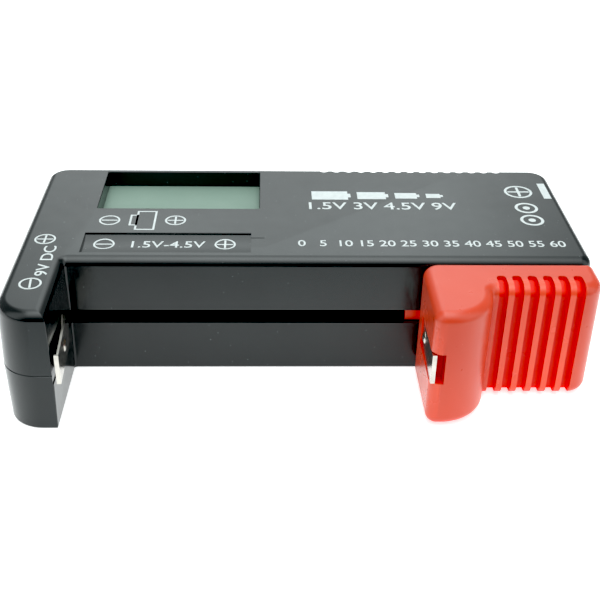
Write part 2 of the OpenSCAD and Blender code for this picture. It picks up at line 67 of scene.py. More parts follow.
# How far cutters pass beyond a surface, or added pieces run into the wall they join
CUT = 1.0
OVERLAP = 0.5
EMBED = 0.2

LEFT, FRONT = case_low.x, case_low.y
RIGHT, BACK = case_high.x, case_high.y
# The top face is a hair below the CAD's, so that the ink on it stays inside the CAD's box
PRINT_ROOM = 0.03
TOP = case_high.z - PRINT_ROOM
SPLIT = 11.8
WALL = 1.8
BODY_DEPTH = 42.5
WALL_Y = BACK - BODY_DEPTH
ARM_X = LEFT + 10
ROOF = case_high.z - WALL
DRAFT = 0.3
TOP_ROUND = 1.8
BASE_ROUND = 0.45
PART_GAP = 0.04
PART_BEVEL = 0.1

SLOT_X = (ARM_X - 1.9, RIGHT - 3)
SLOT_Y = (WALL_Y - 2, WALL_Y + WALL + CUT)
SLOT_Z = (10.7, 13.6)

WINDOW_W, WINDOW_D = 33.0, 18.0
WINDOW_X = LEFT + 13.1
WINDOW_Y = BACK - 2.6 - WINDOW_D
WINDOW_SKIRT = 1.2
WINDOW_CORNER = 0.3
WINDOW_RIM = 0.22

RECESS_X = (LEFT + 12.25, LEFT + 44.6)
RECESS_Y = (WALL_Y + 3.1, WALL_Y + 11.1)
RECESS_DEPTH = 0.35
RECESS_SAG = 0.3
RECESS_FLARE = 0.12
NUB_W, NUB_D, NUB_DEPTH = 2.6, 3.9, 0.06

SCALLOPS = 15
SCALLOP_X0, SCALLOP_PITCH, SCALLOP_R = 5.3, 2.73, 0.95
SCALLOP_DEPTH, SCALLOP_TOP_DEPTH = 0.7, 2.3

SCREW_PLACES = [(LEFT + 5, BACK - 5), (RIGHT - 5, BACK - 5), (RIGHT - 5, 2.0), (LEFT + 5, FRONT + 5.5)]
SCREW_BOSS_R = WALL + 1.6
SCREW_HOLE_R = 1.4
SCREW_HEAD_R, SCREW_HEAD_DEPTH = 2.8, 2.4
SCREW_PILOT_R, SCREW_PILOT_DEPTH = 1.15, 5.2
BOARD_POSTS = [(-41, 3), (-19, 3), (4.5, 3), (4.5, BACK - 5.7)]
BOARD_TOP = 16.0
POST_R = 2.0
POST_PILOT_R, POST_PILOT_DEPTH = 0.85, 4.5
RIB_END = RIGHT - 9
RIB_Y = (-3.6, -2.2)
RIB_TOP = 17.4
STUD_HEAD_R, STUD_HEAD_DEPTH = 3.05, 0.8
STUD_HOLE_R, STUD_HOLE_DEPTH = 1.65, 3.5

SLIDER_X0 = RIGHT - 0.7 - 32.5
SLIDER_X1 = RIGHT - 0.7
JAW_RIGHT = SLIDER_X0 + 11.6
SLIDER_BACK = WALL_Y - 0.3
GRIP_FRONT = SLIDER_BACK - 9.7
SLIDER_BASE = slider_low.z
SLIDER_TOP = slider_high.z
SLIDER_ROUND = 1.9
NECK_LEAD = 2.2
NECK_END = SLIDER_X1 - 4
NECK_Y = (WALL_Y + 1.1, WALL_Y + WALL + 0.4)
NECK_Z = (SLOT_Z[0] + 0.2, SLOT_Z[1] - 0.2)
FLANGE_LEAD = 1.6
FLANGE_Y = (WALL_Y + WALL + 0.2, WALL_Y + WALL + 2.1)
FLANGE_Z = (7.2, 17)

GROOVE_X0 = JAW_RIGHT + 1.3
GROOVE_FLOOR_Y = GRIP_FRONT + 1.7
GROOVE_BACK = SLIDER_BACK - 5.3
GROOVE_END_DEPTH = 0.85
GROOVE_BEND = 1.5
GROOVE_BEND_Z = SLIDER_TOP - 3.2
GROOVE_FOOT = 1.1
GROOVE_W = 1.75
GROOVE_END_R = GROOVE_W / 2 - 0.05
GROOVE_PITCH = 2.84
GROOVES = 6

LEAF_Z = (10.0, 16.3)
LEAF_ROOT_Y = -17.2
ARM_POCKET_DEPTH = 0.2
JAW_POCKET_DEPTH = 0.9
JAW_HOOK = 2.5
JAW_PASSAGE_DEPTH = 3.6


# ---------- mesh tools ----------

def link(name, verts, faces):
    """A mesh object from millimetre vertices."""
    mesh = bpy.data.meshes.new(name)
    mesh.from_pydata([(x * MM, y * MM, z * MM) for x, y, z in verts], [], faces)
    mesh.update()
    obj = bpy.data.objects.new(name, mesh)
    bpy.context.scene.collection.objects.link(obj)
    return obj


def outline(corners, inset=0.0):
    """Points of a closed outline of axis-aligned edges, anticlockwise, moved inwards by inset.

    Each corner is (x, y, radius, steps).
    """
    points = []
    for i, (x, y, radius, steps) in enumerate(corners):
        before = Vector(corners[i - 1][:2])
        after = Vector(corners[(i + 1) % len(corners)][:2])
        here = Vector((x, y))
        along_in = (here - before).normalized()
        along_out = (after - here).normalized()
        left_in = Vector((-along_in.y, along_in.x))
        left_out = Vector((-along_out.y, along_out.x))
        turn = round(along_in.cross(along_out))
        here = here + inset * (left_in + left_out)
        bend = max(radius - turn * inset, 0.02)
        centre = here + (turn * left_in - along_in) * bend
        spoke = (here - along_in * bend) - centre
        for k in range(steps + 1):
            angle = turn * math.pi / 2 * k / steps
            points.append((
                centre.x + spoke.x * math.cos(angle) - spoke.y * math.sin(angle),
                centre.y + spoke.x * math.sin(angle) + spoke.y * math.cos(angle),
            ))
    return points


def loft(name, rings):
    """A closed solid through rings of equal length, each (z, points), from the bottom up."""
    count = len(rings[0][1])
    verts = [(x, y, z) for z, ring in rings for x, y in ring]
    faces = [list(reversed(range(count)))]
    for level in range(len(rings) - 1):
        for k in range(count):
            a = level * count + k
            b = level * count + (k + 1) % count
            faces.append((a, b, b + count, a + count))
    faces.append([(len(rings) - 1) * count + k for k in range(count)])
    return link(name, verts, faces)


def round_levels(z, radius, inset, rising, steps=10):
    """Levels (z, inset) of a rounded edge whose flat face is at z, facing up if rising, else down."""
    levels = []
    for k in range(steps + 1):
        angle = math.pi / 2 * k / steps
        if rising:
            levels.append((z - radius + radius * math.sin(angle), inset + radius * (1 - math.cos(angle))))
        else:
            levels.append((z + radius - radius * math.cos(angle), inset + radius * (1 - math.sin(angle))))
    return levels


def solid(name, corners, levels):
    """A closed solid from one outline, inset by its own amount at each level (z, inset)."""
    return loft(name, [(z, outline(corners, inset)) for z, inset in levels])


def prism(name, profile, x0, x1):
    """A solid along X with a side view given as (y, z) points, anticlockwise when seen from the left."""
    count = len(profile)
    verts = [(x, y, z) for x in (x0, x1) for y, z in profile]
    faces = [[k for k in range(count)], [count + k for k in reversed(range(count))]]
    faces += [(k, count + k, count + (k + 1) % count, (k + 1) % count) for k in range(count)]
    return link(name, verts, faces)


def rectangle(x0, y0, x1, y1, radius=0.05, steps=2):
    return [(x, y, radius, steps) for x, y in ((x0, y0), (x1, y0), (x1, y1), (x0, y1))]


def block(name, x0, y0, z0, x1, y1, z1, radius=0.05):
    return solid(name, rectangle(x0, y0, x1, y1, radius), [(z0, 0), (z1, 0)])


def circle(x, y, radius, sides=48):
    turns = [2 * math.pi * k / sides for k in range(sides)]
    return [(x + radius * math.cos(turn), y + radius * math.sin(turn)) for turn in turns]


def cylinder(name, centre, radius, length, axis="Z", sides=48):
    """A cylinder from centre along +X or +Z."""
    turn = {"X": Matrix.Rotation(math.pi / 2, 3, "Y"), "Z": Matrix.Identity(3)}[axis]
    ring = circle(0, 0, radius, sides)
    obj = loft(name, [(0, ring), (length, ring)])
    for vert in obj.data.vertices:
        vert.co = turn @ vert.co + Vector(centre) * MM
    return obj


def joined(name, objects):
    """One object from several."""
    verts, faces = [], []
    for obj in objects:
        start = len(verts)
        verts += [tuple(v.co / MM) for v in obj.data.vertices]
        faces += [[start + i for i in p.vertices] for p in obj.data.polygons]
        bpy.data.objects.remove(obj)
    return link(name, verts, faces)


def settle(obj):
    """Applies the modifiers."""
    graph = bpy.context.evaluated_depsgraph_get()
    obj.data = bpy.data.meshes.new_from_object(obj.evaluated_get(graph))
    obj.modifiers.clear()


def combine(obj, others, operation):
    """Adds or cuts each of the others, then removes them."""
    for other in others:
        modifier = obj.modifiers.new(other.name, "BOOLEAN")
        modifier.operation = operation
        modifier.object = other
        modifier.solver = "EXACT"
    settle(obj)
    for other in others:
        bpy.data.objects.remove(other)


def finish_surface(obj, material, sharp_degrees=32):
    """Smooth shading that keeps flat faces flat, and the material."""
    obj.data.materials.clear()
    obj.data.materials.append(material)
    obj.data.shade_smooth()
    obj.data.set_sharp_from_angle(angle=math.radians(sharp_degrees))
    normals = obj.modifiers.new("flat_faces", "WEIGHTED_NORMAL")
    normals.mode = "FACE_AREA"
    normals.keep_sharp = True


def soften(obj, width, segments=2, degrees=40):
    """A small bevel on every sharp edge."""
    bevel = obj.modifiers.new("soft_edges", "BEVEL")
    bevel.width = width * MM
    bevel.segments = segments
    bevel.limit_method = "ANGLE"
    bevel.angle_limit = math.radians(degrees)
    bevel.harden_normals = True


def stands_for(obj, body, slot, *nodes):
    """Makes the object take the place of CAD nodes, on a body. Its slot is not used."""
    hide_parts(*nodes)
    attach(obj, body)


# ---------- materials ----------

class Finish:
    """A node material built up around one Principled shader."""

    def __init__(self, name):
        self.material = bpy.data.materials.new(name)
        self.material.use_nodes = True
        self.tree = self.material.node_tree
        self.shader = self.tree.nodes["Principled BSDF"]
        self.place = self.node("ShaderNodeTexCoord").outputs["Object"]

    def node(self, kind, inputs=None, **settings):
        made = self.tree.nodes.new(kind)
        for key, value in settings.items():
            setattr(made, key, value)
        for key, value in (inputs or {}).items():
            self.feed(made.inputs[key], value)
        return made

    def feed(self, socket, value):
        if isinstance(value, bpy.types.NodeSocket):
            self.tree.links.new(value, socket)
        else:
            socket.default_value = value

    def set(self, **values):
        for key, value in values.items():
            self.feed(self.shader.inputs[key.replace("_", " ")], value)

    def noise(self, size_mm, place=None):
        """Noise with features about size_mm across."""
        made = self.node("ShaderNodeTexNoise", {"Vector": place or self.place, "Scale": 1 / (size_mm * MM),
                                                "Detail": 3.0, "Roughness": 0.5})
        return made.outputs["Fac"]

    def spread(self, value, low, high, out_low=0.0, out_high=1.0):
        """Maps a range of value to another range, clamped."""
        made = self.node("ShaderNodeMapRange", {"Value": value, "From Min": low, "From Max": high,
                                                "To Min": out_low, "To Max": out_high})
        return made.outputs["Result"]

    def mix(self, factor, first, second):
        made = self.node("ShaderNodeMix", data_type="RGBA")
        self.feed(made.inputs[0], factor)
        self.feed(made.inputs[6], first)
        self.feed(made.inputs[7], second)
        return made.outputs[2]

    def bump(self, height, depth_mm):
        inputs = {"Height": height, "Distance": depth_mm * MM, "Strength": 1.0}
        return self.node("ShaderNodeBump", inputs).outputs["Normal"]

    def paint_hollow_shade(self, colour, reach_mm):
        """Painted shade: a deeper colour and less gloss where the surface is sheltered by its own grooves and
        corners.
        """
        shelter = self.node("ShaderNodeAmbientOcclusion", {"Distance": reach_mm * MM}, samples=12)
        exposed = self.spread(shelter.outputs["AO"], 0.3, 0.75)
        base = self.shader.inputs["Base Color"].links[0].from_socket
        self.set(Base_Color=self.mix(exposed, colour, base),
                 Specular_IOR_Level=self.spread(exposed, 0, 1, 0, 0.5))

    def worn_edges(self, low=0.52, high=0.58):
        """1 on convex edges and 0 elsewhere."""
        return self.spread(self.node("ShaderNodeNewGeometry").outputs["Pointiness"], low, high)


def rgb(red, green, blue):
    return (red, green, blue, 1.0)


def moulded(name, base, light, roughness, grain_mm, grain_depth, speck):
    """Moulded plastic: an even colour, faintly clouded, with a fine grain, polished edges and dust specks."""
    finish = Finish(name)
    colour = finish.mix(finish.spread(finish.noise(9), 0.3, 0.7), rgb(*base), rgb(*light))
    cells = finish.node("ShaderNodeTexVoronoi", {"Vector": finish.place, "Scale": 1 / (1.6 * MM)})
    dust = finish.spread(cells.outputs["Distance"], 0.05, 0.03)
    colour = finish.mix(dust, colour, rgb(*speck))
    edges = finish.worn_edges()
    bare = rgb(*[c * 1.5 + 0.004 for c in light])
    colour = finish.mix(finish.spread(edges, 0, 1, 0, 0.5), colour, bare)
    grain = finish.noise(grain_mm)
    rough = finish.spread(finish.noise(3.5), 0.3, 0.7, roughness - 0.03, roughness + 0.03)
    rough = finish.node("ShaderNodeMath", {0: rough, 1: finish.spread(edges, 0, 1, 0, 0.05)},
                        operation="SUBTRACT").outputs[0]
    finish.set(Base_Color=colour, Roughness=rough, IOR=1.5, Normal=finish.bump(grain, grain_depth))
    return finish


def metal(name, colour, tarnish, roughness, grain=(1.0, 40.0, 40.0)):
    """Rolled or plated metal: fine lines along X, faint tarnish."""
    finish = Finish(name)
    lines = finish.node("ShaderNodeMapping", {"Vector": finish.place, "Scale": grain}).outputs[0]
    brushed = finish.noise(1.5, lines)
    clouds = finish.spread(finish.noise(1.6), 0.4, 0.75)
    finish.set(Base_Color=finish.mix(clouds, rgb(*colour), rgb(*tarnish)), Metallic=1.0,
               Roughness=finish.spread(brushed, 0.3, 0.7, roughness - 0.04, roughness + 0.06),
               Normal=finish.bump(brushed, 0.004))
    return finish


def plain(name, colour, second, roughness, grain_mm=0.3, depth=0.005, **more):
    """A small part's finish: two close colours, a fine grain and uneven gloss."""
    finish = Finish(name)
    clouds = finish.spread(finish.noise(grain_mm * 6), 0.35, 0.65)
    gloss = finish.spread(finish.noise(grain_mm * 4), 0.3, 0.7, roughness - 0.05, roughness + 0.05)
    finish.set(Base_Color=finish.mix(clouds, rgb(*colour), rgb(*second)), Roughness=gloss,
               Normal=finish.bump(finish.noise(grain_mm), depth), **more)
    return finish


black_plastic = moulded("black_abs", (0.006, 0.0075, 0.008), (0.009, 0.0115, 0.012), 0.19, 0.3, 0.002,
                        (0.2, 0.23, 0.23)).material
red_finish = moulded("red_abs", (0.56, 0.056, 0.024), (0.58, 0.061, 0.026), 0.3, 0.35, 0.002,
                     (0.7, 0.16, 0.12))
# Painted shade in the slider's grooves and corners: a deeper, more saturated red and less gloss
red_finish.paint_hollow_shade(rgb(0.85, 0.008, 0.003), 3.0)
red_plastic = red_finish.material
nickel = metal("nickel_plate", (0.62, 0.59, 0.54), (0.5, 0.47, 0.42), 0.16).material
bronze = metal("phosphor_bronze", (0.6, 0.42, 0.24), (0.42, 0.28, 0.15), 0.28).material
zinc = metal("zinc_plate", (0.62, 0.63, 0.65), (0.45, 0.46, 0.45), 0.26).material
ink = plain("white_ink", (0.56, 0.59, 0.59), (0.5, 0.53, 0.53), 0.4, 0.15, 0.002).material

SMALL_FINISHES = {
    "display_film": plain("display_film", (0.205, 0.28, 0.235), (0.195, 0.27, 0.225), 0.5, 1.5, 0.001,
                          Specular_IOR_Level=0.25),
    "display_glass": plain("display_glass", (0.62, 0.74, 0.68), (0.56, 0.7, 0.63), 0.1, 1.0, 0.001,
                           Transmission_Weight=0.7, IOR=1.52),
    "reflector_film": plain("reflector_film", (0.5, 0.56, 0.5), (0.44, 0.5, 0.45), 0.35),
    "holder_plastic": plain("holder_plastic", (0.78, 0.78, 0.74), (0.72, 0.72, 0.68), 0.45),
    "zebra_rubber": plain("zebra_rubber", (0.62, 0.33, 0.36), (0.5, 0.25, 0.28), 0.6),
    "black_epoxy": plain("black_epoxy", (0.012, 0.012, 0.012), (0.02, 0.02, 0.02), 0.2, 0.4, 0.02),
    "ferrite": plain("ferrite", (0.05, 0.05, 0.055), (0.08, 0.08, 0.085), 0.6, 0.2, 0.02),
    "capacitor_can": plain("capacitor_can", (0.05, 0.06, 0.12), (0.04, 0.05, 0.09), 0.3),
    "chip_resistor": plain("chip_resistor", (0.03, 0.03, 0.035), (0.05, 0.05, 0.055), 0.3),
    "chip_capacitor": plain("chip_capacitor", (0.42, 0.3, 0.18), (0.36, 0.25, 0.15), 0.5),
    "red_wire": plain("red_wire", (0.5, 0.02, 0.02), (0.42, 0.015, 0.015), 0.4),
    "black_wire": plain("black_wire", (0.015, 0.015, 0.015), (0.03, 0.03, 0.03), 0.4),
    "board_laminate": plain("board_laminate", (0.02, 0.16, 0.06), (0.03, 0.2, 0.08), 0.25, 0.5, 0.01),
}
FINISH_OF_SLOT = {slot: finish.material for slot, finish in SMALL_FINISHES.items()}
FINISH_OF_SLOT.update(black_case=black_plastic, red_slider=red_plastic, nickel_leaf=nickel,
                      phosphor_bronze=bronze, zinc_screw=zinc)


# ---------- case shells ----------

# Each corner is (x, y, radius, steps)
CASE_CORNERS = [
    (LEFT, FRONT, 7.0, 24),
    (ARM_X, FRONT, 0.5, 4),
    (ARM_X, WALL_Y, 0.25, 3),
    (RIGHT, WALL_Y, 2.6, 12),
    (RIGHT, BACK, 4.5, 16),
    (LEFT, BACK, 4.5, 16),
]


def scallop(x):
    """A finger groove's cutter: an upright round rod that leans inwards where it cuts the top face."""
    lean = (SCALLOP_TOP_DEPTH - SCALLOP_DEPTH) / (TOP - ROOF)
    depths = [(-CUT, SCALLOP_DEPTH), (ROOF, SCALLOP_DEPTH), (TOP + CUT, SCALLOP_TOP_DEPTH + lean * CUT)]
    return loft("scallop", [(z, circle(x, BACK + SCALLOP_R - depth, SCALLOP_R, 24)) for z, depth in depths])


def shared_cuts():
    """What is cut through both shells: the slot, the stud holes, the finger grooves and the leaf's pocket."""
    slot = block("slot", SLOT_X[0], SLOT_Y[0], SLOT_Z[0], SLOT_X[1], SLOT_Y[1], SLOT_Z[1])
    studs = []
    for node in ("nine_volt_plus_stud", "nine_volt_minus_stud"):
        low, high = box_mm(node)
        centre_y = (low.y + high.y) / 2
        head_start = (LEFT - CUT, centre_y, SPLIT)
        shank_start = (LEFT - OVERLAP, centre_y, SPLIT)
        studs.append(cylinder("stud_head", head_start, STUD_HEAD_R, STUD_HEAD_DEPTH + CUT, "X"))
        studs.append(cylinder("stud_shank", shank_start, STUD_HOLE_R, STUD_HOLE_DEPTH + OVERLAP, "X"))
    scallops = joined("scallops", [scallop(SCALLOP_X0 + i * SCALLOP_PITCH) for i in range(SCALLOPS)])
    pocket = block("leaf_pocket", ARM_X - ARM_POCKET_DEPTH, FRONT - CUT, LEAF_Z[0],
                   ARM_X + CUT, LEAF_ROOT_Y + 0.5, LEAF_Z[1])
    passage = block("leaf_passage", ARM_X - WALL - OVERLAP, LEAF_ROOT_Y - 0.4, LEAF_Z[0],
                    ARM_X + CUT, LEAF_ROOT_Y + 0.55, LEAF_Z[1])
    return [slot, *studs, scallops, pocket, passage]


def cavity(z0, z1):
    return solid("cavity", CASE_CORNERS, [(z0, WALL), (z1, WALL)])


def flared_window():
    """The window's cutter, with a small rounded rim at the top."""
    corners = rectangle(WINDOW_X, WINDOW_Y, WINDOW_X + WINDOW_W, WINDOW_Y + WINDOW_D, WINDOW_CORNER, 4)
    levels = [(FILM_TOP - CUT, 0), (TOP - WINDOW_RIM, 0)]
    for turn in (0.4, 0.8, 1.2, math.pi / 2):
        levels.append((TOP - WINDOW_RIM + WINDOW_RIM * math.sin(turn), -WINDOW_RIM * (1 - math.cos(turn))))
    return solid("window", corners, levels + [(TOP + CUT, -WINDOW_RIM)])


def recess_floor(y):
    """Height of the battery-shaped recess's shallow curved floor."""
    middle = sum(RECESS_Y) / 2
    half = (RECESS_Y[1] - RECESS_Y[0]) / 2
    return TOP - RECESS_DEPTH - RECESS_SAG * (1 - ((y - middle) / half) ** 2)


def recess_cutter(x0, x1, y0, y1, steps=16):
    """A prism along X whose underside is the curved floor, with a small flare at the rim."""
    floor = [y1 + (y0 - y1) * k / steps for k in range(steps + 1)]
    profile = [(y, recess_floor(y)) for y in floor]
    front, back = y0 - RECESS_FLARE, y1 + RECESS_FLARE
    profile += [(y0, TOP - RECESS_FLARE), (front, TOP), (front, TOP + CUT)]
    profile += [(back, TOP + CUT), (back, TOP), (y1, TOP - RECESS_FLARE)]
    return prism("recess", profile, x0, x1)


def battery_recess():
    """Cutters for the cell's body and, at its right end, the cell's nub."""
    middle = sum(RECESS_Y) / 2
    nub = block("nub", RECESS_X[1] - OVERLAP, middle - NUB_D / 2, TOP - NUB_DEPTH,
                RECESS_X[1] + NUB_W, middle + NUB_D / 2, TOP + CUT)
    return [recess_cutter(*RECESS_X, *RECESS_Y), nub]


def make_upper_case():
    levels = [(SPLIT + PART_GAP, PART_BEVEL), (SPLIT + PART_GAP + PART_BEVEL, 0.0)]
    levels += round_levels(TOP, TOP_ROUND, DRAFT, rising=True)
    shell = solid("upper_case_shell", CASE_CORNERS, levels)
    combine(shell, [cavity(SPLIT - CUT, ROOF)], "DIFFERENCE")
    skirt = block("skirt", WINDOW_X - WINDOW_SKIRT, WINDOW_Y - WINDOW_SKIRT, FILM_TOP,
                  WINDOW_X + WINDOW_W + WINDOW_SKIRT, BACK - WALL + EMBED, ROOF + EMBED)
    posts = [cylinder("boss", (x, y, SPLIT + PART_GAP), SCREW_BOSS_R, ROOF - SPLIT) for x, y in SCREW_PLACES]
    posts += [cylinder("post", (x, y, BOARD_TOP), POST_R, ROOF - BOARD_TOP + EMBED) for x, y in BOARD_POSTS]
    combine(shell, [skirt, *posts], "UNION")
    pilots = [cylinder("pilot", (x, y, SPLIT - CUT), SCREW_PILOT_R, SCREW_PILOT_DEPTH + CUT)
              for x, y in SCREW_PLACES]
    pilots += [cylinder("pilot", (x, y, BOARD_TOP - CUT), POST_PILOT_R, POST_PILOT_DEPTH + CUT)
               for x, y in BOARD_POSTS]
    combine(shell, [*shared_cuts(), flared_window(), *battery_recess(), *pilots], "DIFFERENCE")
    finish_surface(shell, black_plastic)
    stands_for(shell, "case", "black_case", "upper_case")


def make_lower_case():
    levels = round_levels(0.0, BASE_ROUND, DRAFT, rising=False, steps=5)
    levels += [(SPLIT - PART_GAP - PART_BEVEL, 0.0), (SPLIT - PART_GAP, PART_BEVEL)]
    shell = solid("lower_case_shell", CASE_CORNERS, levels)
    combine(shell, [cavity(WALL, SPLIT + CUT)], "DIFFERENCE")
    boss_height = SPLIT - PART_GAP - WALL + OVERLAP
    bosses = [cylinder("boss", (x, y, WALL - OVERLAP), SCREW_BOSS_R, boss_height) for x, y in SCREW_PLACES]
    rib = block("rib", ARM_X, RIB_Y[0], WALL - OVERLAP, RIB_END, RIB_Y[1], RIB_TOP)
    combine(shell, [*bosses, rib], "UNION")
    holes = []
    for x, y in SCREW_PLACES:
        holes.append(cylinder("recess", (x, y, -CUT), SCREW_HEAD_R, SCREW_HEAD_DEPTH + CUT))
        holes.append(cylinder("clearance", (x, y, -OVERLAP), SCREW_HOLE_R, SPLIT + 2 * OVERLAP))
    combine(shell, [*shared_cuts(), *holes], "DIFFERENCE")
    finish_surface(shell, black_plastic)
    stands_for(shell, "case", "black_case", "lower_case")


make_upper_case()
make_lower_case()


# ---------- slider ----------

# Each corner is (x, y, radius, steps)
SLIDER_CORNERS = [
    (SLIDER_X0, FRONT, 2.0, 8),
    (JAW_RIGHT, FRONT, 8.8, 24),
    (JAW_RIGHT, GRIP_FRONT, 0.65, 6),
    (SLIDER_X1, GRIP_FRONT, 4.0, 16),
    (SLIDER_X1, SLIDER_BACK, 1.6, 6),
    (SLIDER_X0, SLIDER_BACK, 3.0, 10),
]


def groove_profile():
    """Side view of a groove: it deepens along the top, bends down the front and runs out at the foot."""
    bend_steps, foot_steps, bend_turn = 8, 6, 60
    points = [(GROOVE_BACK, SLIDER_TOP + CUT), (GROOVE_BACK, SLIDER_TOP - GROOVE_END_DEPTH)]
    for k in range(bend_steps + 1):
        angle = math.radians(bend_turn - bend_turn * k / bend_steps)
        points.append((GROOVE_FLOOR_Y + GROOVE_BEND * (1 - math.cos(angle)),
                       GROOVE_BEND_Z + GROOVE_BEND * math.sin(angle)))
    for k in range(foot_steps + 1):
        angle = math.pi / 2 * k / foot_steps
        points.append((GROOVE_FLOOR_Y + GROOVE_FOOT * (1 - math.cos(angle)),
                       SLIDER_BASE + GROOVE_FOOT * (1 - math.sin(angle))))
    points.append((GROOVE_FLOOR_Y + GROOVE_FOOT, 0))
    return points + [(GRIP_FRONT - CUT, 0), (GRIP_FRONT - CUT, SLIDER_TOP + CUT)]


def groove(x):
    """One groove's cutter: the side view, cut to a width and a rounded back end as seen from above."""
    cutter = prism("groove", groove_profile(), x - CUT, x + GROOVE_W + CUT)
    plan = rectangle(x, GRIP_FRONT - 3 * CUT, x + GROOVE_W, GROOVE_BACK, GROOVE_END_R, 6)
    combine(cutter, [solid("groove_plan", plan, [(-CUT, 0), (SLIDER_TOP + 2 * CUT, 0)])], "INTERSECT")
    return cutter


def leaf_cut(name, y0, y1, depth):
    """A cutter as tall as the contact leaf that goes that deep into the jaw's left face."""
    return block(name, SLIDER_X0 - CUT, y0, LEAF_Z[0], SLIDER_X0 + depth, y1, LEAF_Z[1])


def make_slider():
    low = round_levels(SLIDER_BASE, SLIDER_ROUND, 0.0, rising=False)
    high = round_levels(SLIDER_TOP, SLIDER_ROUND, 0.0, rising=True)
    body = solid("slider_shell", SLIDER_CORNERS, low + high)
    combine(body, [groove(GROOVE_X0 + i * GROOVE_PITCH) for i in range(GROOVES)], "DIFFERENCE")
    neck = block("neck", SLIDER_X0 - NECK_LEAD, NECK_Y[0], NECK_Z[0], NECK_END, NECK_Y[1], NECK_Z[1])
    root = block("root", SLIDER_X0 + 1, SLIDER_BACK - 1, NECK_Z[0], NECK_END, NECK_Y[1], NECK_Z[1])
    flange = block("flange", SLIDER_X0 - FLANGE_LEAD, FLANGE_Y[0], FLANGE_Z[0],
                   NECK_END, FLANGE_Y[1], FLANGE_Z[1])
    combine(body, [neck, root, flange], "UNION")
    cuts = [leaf_cut("front_pocket", FRONT - CUT, FRONT + JAW_HOOK, JAW_HOOK),
            leaf_cut("face_pocket", FRONT - CUT, LEAF_ROOT_Y - 0.4, JAW_POCKET_DEPTH),
            leaf_cut("passage", LEAF_ROOT_Y - 1.2, LEAF_ROOT_Y - 0.3, JAW_PASSAGE_DEPTH)]
    combine(body, cuts, "DIFFERENCE")
    finish_surface(body, red_plastic)
    stands_for(body, "slider", "red_slider", "slider_body")


make_slider()


# ---------- white print ----------

INK_GAP, INK_THICK = 0.004, 0.016
SIGN_R, SIGN_STROKE = 2.05, 0.38
FRAME_STROKE = 0.4
CELL_ROW, CELL_COLUMN, CELL_GAP, CELL_CAP = 16.8, 2.1, 2.0, 0.6
CELL_SIZES = [(7.6, 4.0), (6.0, 3.4), (4.6, 2.7), (3.0, 2.0)]
RATINGS = ["1.5V", "3V", "4.5V", "9V"]
SCALE_STEP, SCALE_MARKS = 5, 13
RING_R, RING_STROKE, RING_DOT_R = 2.4, 0.6, 0.75


def surface_height(x, y):
    """Height of the printed face: the flat top, or the recess's floor."""
    if RECESS_X[0] < x < RECESS_X[1] and RECESS_Y[0] < y < RECESS_Y[1]:
        return recess_floor(y)
    return TOP


def print_shape(name, loops):
    """Thin ink from closed loops of points. A loop may be (outer, inner) for a ring of equal point counts."""
    verts, faces = [], []
    for loop in loops:
        rings = loop if isinstance(loop, tuple) else (loop,)
        start, count = len(verts), len(rings[0])
        for ring in rings:
            for lift in (INK_GAP, INK_GAP + INK_THICK):
                verts += [(x, y, surface_height(x, y) + lift) for x, y in ring]
        low, high = start, start + count
        pairs = [(k, (k + 1) % count) for k in range(count)]
        faces += [(low + k, low + n, high + n, high + k) for k, n in pairs]
        if len(rings) == 1:
            faces.append([high + k for k in range(count)])
            faces.append([low + k for k in reversed(range(count))])
            continue
        inner_low, inner_high = start + 2 * count, start + 3 * count
        for k, n in pairs:
            faces.append((high + k, high + n, inner_high + n, inner_high + k))
            faces.append((inner_low + n, inner_low + k, inner_high + k, inner_high + n))
            faces.append((low + n, low + k, inner_low + k, inner_low + n))
    return finish_print(link(name, verts, faces))


def finish_print(obj):
    """White ink that rides on the case."""
    obj.data.materials.append(ink)
    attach(obj, "case")
    return obj


def bar(x, y, length, width, angle=0.0):
    """A filled bar centred at x, y and turned by angle."""
    c, s = math.cos(angle), math.sin(angle)
    half_l, half_w = length / 2, width / 2
    corners = [(-half_l, -half_w), (half_l, -half_w), (half_l, half_w), (-half_l, half_w)]
    return [(x + c * u - s * v, y + s * u + c * v) for u, v in corners]


def ring_loop(x, y, radius, stroke):
    """A hollow circle."""
    return circle(x, y, radius), circle(x, y, radius - stroke)


def frame_loop(x0, y0, x1, y1):
    """A hollow rectangle."""
    t = FRAME_STROKE
    outer = [(x0, y0), (x1, y0), (x1, y1), (x0, y1)]
    inner = [(x0 + t, y0 + t), (x1 - t, y0 + t), (x1 - t, y1 - t), (x0 + t, y1 - t)]
    return outer, inner


def polarity(name, x, y, radius, positive, angle=0.0, stroke=SIGN_STROKE):
    """A circled plus or minus. The plus's upright is two bars, so that no faces cross."""
    reach = radius * 1.5
    loops = [ring_loop(x, y, radius, stroke), bar(x, y, reach, stroke, angle)]
    if positive:
        side = (reach - stroke) / 2
        for sign in (-1, 1):
            offset = sign * (stroke + side) / 2
            loops.append(bar(x - math.sin(angle) * offset, y + math.cos(angle) * offset, side, stroke,
                             angle + math.pi / 2))
    print_shape(name, loops)


